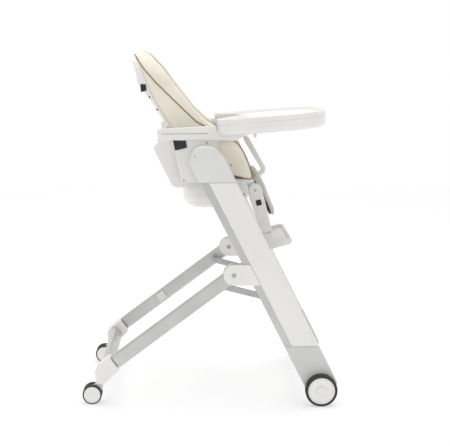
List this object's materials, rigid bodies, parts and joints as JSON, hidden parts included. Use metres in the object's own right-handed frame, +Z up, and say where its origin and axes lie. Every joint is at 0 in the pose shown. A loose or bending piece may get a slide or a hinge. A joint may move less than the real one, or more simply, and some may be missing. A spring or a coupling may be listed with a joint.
{
  "type": "baby high chair",
  "caption": "Folding baby high chair with slanted front legs on wheels, rear casters, sliding padded seat, reclining back, leg rest and lift-off tray.",
  "frame": {"origin": "on the floor, under the middle of the chair's overall length and width", "axes": "+X forward, the way the child faces; +Y to the child's left; +Z up"},
  "size_m": [0.7656, 0.6, 1.0578],
  "materials": {
    "anodised_aluminium": "satin anodised",
    "white_plastic": "semi-gloss moulded",
    "cap_plastic": "satin moulded",
    "foot_plastic": "satin moulded",
    "steel": "zinc plated",
    "tyre_rubber": "soft matte",
    "black_plastic": "satin moulded",
    "cream_leatherette": "soft embossed grain",
    "grey_leatherette": "soft embossed grain",
    "harness_webbing": "woven"
  },
  "bodies": {
    "front_frame": {"leg_rail_R": "anodised_aluminium", "leg_rail_L": "anodised_aluminium", "leg_cover_R": "white_plastic", "leg_cover_L": "white_plastic", "leg_cap_R": "cap_plastic", "leg_cap_L": "cap_plastic", "foot_cover_R": "foot_plastic", "foot_cover_L": "foot_plastic", "fold_bracket_R": "white_plastic", "fold_bracket_L": "white_plastic", "fold_pin_R": "steel", "fold_pin_L": "steel", "wheel_axle_R": "steel", "wheel_axle_L": "steel", "front_crossbar": "anodised_aluminium"},
    "front_wheel_R": {"front_hub_R": "white_plastic", "front_tyre_R": "tyre_rubber"},
    "front_wheel_L": {"front_hub_L": "white_plastic", "front_tyre_L": "tyre_rubber"},
    "rear_frame": {"rear_tube_R": "anodised_aluminium", "rear_tube_L": "anodised_aluminium", "rear_corner_R": "white_plastic", "rear_corner_L": "white_plastic", "tray_hook_R": "cap_plastic", "tray_hook_L": "cap_plastic", "rear_crossbar": "anodised_aluminium"},
    "caster_R": {"caster_body_R": "cap_plastic"},
    "caster_wheel_pair_R": {"caster_wheels_R": "tyre_rubber"},
    "brace_R": {"strut_R": "steel"},
    "caster_L": {"caster_body_L": "cap_plastic"},
    "caster_wheel_pair_L": {"caster_wheels_L": "tyre_rubber"},
    "brace_L": {"strut_L": "steel"},
    "seat": {"side_plate_R": "white_plastic", "side_plate_L": "white_plastic", "slide_block_R": "black_plastic", "slide_block_L": "black_plastic", "armrest_R": "white_plastic", "armrest_L": "white_plastic", "seat_pan": "white_plastic", "belly_cover": "white_plastic", "seat_cushion": "cream_leatherette", "crotch_post": "white_plastic", "harness_buckle": "black_plastic"},
    "height_release_R": {"height_lever_R": "black_plastic"},
    "height_release_L": {"height_lever_L": "black_plastic"},
    "backrest": {"back_shell": "white_plastic", "back_cushion": "cream_leatherette", "shoulder_strap_R": "harness_webbing", "shoulder_strap_L": "harness_webbing"},
    "recline_handle": {"recline_lever": "black_plastic"},
    "legrest": {"legrest_frame": "white_plastic", "legrest_pad": "grey_leatherette", "legrest_board": "black_plastic"},
    "legrest_release_R": {"legrest_button_R": "black_plastic"},
    "legrest_release_L": {"legrest_button_L": "black_plastic"},
    "footrest": {"footrest": "white_plastic"},
    "tray": {"tray_base": "white_plastic"},
    "tray_insert": {"tray_top": "white_plastic"},
    "tray_handle": {"tray_latch": "cap_plastic"}
  },
  "joints": [
    {"name": "rear_fold", "type": "hinge", "parent": "front_frame", "child": "rear_frame", "pos_m": [0.07306, 0, 0.39563], "axis": [0, -1, 0], "range_deg": [0, 68]},
    {"name": "front_wheel_spin_R", "type": "hinge", "parent": "front_frame", "child": "front_wheel_R", "pos_m": [0.33398, -0.28475, 0.048], "axis": [0, 1, 0], "continuous": true},
    {"name": "caster_swivel_R", "type": "hinge", "parent": "rear_frame", "child": "caster_R", "pos_m": [-0.32948, -0.233, 0.03], "axis": [0, 0, 1], "continuous": true},
    {"name": "caster_spin_R", "type": "hinge", "parent": "caster_R", "child": "caster_wheel_pair_R", "pos_m": [-0.35298, -0.233, 0.029], "axis": [0, 1, 0], "continuous": true},
    {"name": "brace_turn_R", "type": "hinge", "parent": "rear_frame", "child": "brace_R", "pos_m": [0.02634, 0, 0.35487], "axis": [0, 1, 0], "range_deg": [0, 92]},
    {"name": "front_wheel_spin_L", "type": "hinge", "parent": "front_frame", "child": "front_wheel_L", "pos_m": [0.33398, 0.28475, 0.048], "axis": [0, 1, 0], "continuous": true},
    {"name": "caster_swivel_L", "type": "hinge", "parent": "rear_frame", "child": "caster_L", "pos_m": [-0.32948, 0.233, 0.03], "axis": [0, 0, 1], "continuous": true},
    {"name": "caster_spin_L", "type": "hinge", "parent": "caster_L", "child": "caster_wheel_pair_L", "pos_m": [-0.35298, 0.233, 0.029], "axis": [0, 1, 0], "continuous": true},
    {"name": "brace_turn_L", "type": "hinge", "parent": "rear_frame", "child": "brace_L", "pos_m": [0.02634, 0, 0.35487], "axis": [0, 1, 0], "range_deg": [0, 92]},
    {"name": "seat_height", "type": "slide", "parent": "front_frame", "child": "seat", "axis": [0.4493, 0, -0.8934], "range_m": [0, 0.24]},
    {"name": "height_lever_squeeze_R", "type": "slide", "parent": "seat", "child": "height_release_R", "axis": [0, 0, 1], "range_m": [0, 0.004], "stiffness_N_per_m": 600},
    {"name": "height_lever_squeeze_L", "type": "slide", "parent": "seat", "child": "height_release_L", "axis": [0, 0, 1], "range_m": [0, 0.004], "stiffness_N_per_m": 600},
    {"name": "back_recline", "type": "hinge", "parent": "seat", "child": "backrest", "pos_m": [-0.04541, 0, 0.74512], "axis": [0, -1, 0], "range_deg": [0, 38]},
    {"name": "recline_pull", "type": "slide", "parent": "backrest", "child": "recline_handle", "axis": [-0.45, 0, 0.893], "range_m": [0, 0.005], "stiffness_N_per_m": 800},
    {"name": "legrest_tilt", "type": "hinge", "parent": "seat", "child": "legrest", "pos_m": [0.14159, 0, 0.63412], "axis": [0, -1, 0], "range_deg": [0, 70]},
    {"name": "legrest_button_press_R", "type": "slide", "parent": "legrest", "child": "legrest_release_R", "axis": [0, 1, 0], "range_m": [0, 0.003], "stiffness_N_per_m": 500},
    {"name": "legrest_button_press_L", "type": "slide", "parent": "legrest", "child": "legrest_release_L", "axis": [0, -1, 0], "range_m": [0, 0.003], "stiffness_N_per_m": 500},
    {"name": "footrest_slide", "type": "slide", "parent": "legrest", "child": "footrest", "axis": [0.272, 0, -0.9623], "range_m": [0, 0.044]},
    {"name": "tray_slide", "type": "slide", "parent": "seat", "child": "tray", "axis": [0.9969, 0, 0.0785], "range_m": [0, 0.05]},
    {"name": "tray_lift", "type": "slide", "parent": "tray", "child": "tray_insert", "axis": [-0.0785, 0, 0.9969], "range_m": [0, 0.12]},
    {"name": "tray_handle_pull", "type": "slide", "parent": "tray", "child": "tray_handle", "axis": [0.9969, 0, 0.0785], "range_m": [0, 0.008], "stiffness_N_per_m": 500}
  ],
  "couplings": [
    {"joint": "brace_turn_R", "follows": "rear_fold", "ratio": 1.31},
    {"joint": "brace_turn_L", "follows": "rear_fold", "ratio": 1.31}
  ]
}
